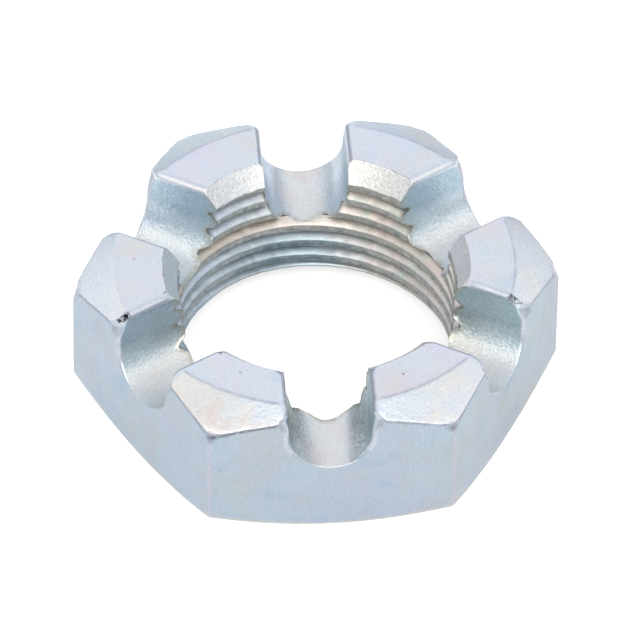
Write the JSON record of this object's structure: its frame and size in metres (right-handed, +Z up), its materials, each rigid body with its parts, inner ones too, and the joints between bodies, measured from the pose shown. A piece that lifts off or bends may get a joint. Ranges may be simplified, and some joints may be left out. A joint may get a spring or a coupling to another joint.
{
  "type": "castle nut",
  "caption": "Thin slotted hexagon nut: its crown is cut by round-bottomed slots that hold a split pin, both faces are chamfered and the bore is threaded.",
  "frame": {"origin": "centre of the bearing face, on the bore's axis", "axes": "+Z up the bore from the bearing face to the slotted crown; +X through a corner of the hexagon, +Y through a flat and its slot"},
  "size_m": [0.042, 0.0364, 0.0138],
  "materials": {
    "zinc_plated_steel": "satin"
  },
  "bodies": {
    "root": {"castle_nut": "zinc_plated_steel"}
  },
  "joints": []
}
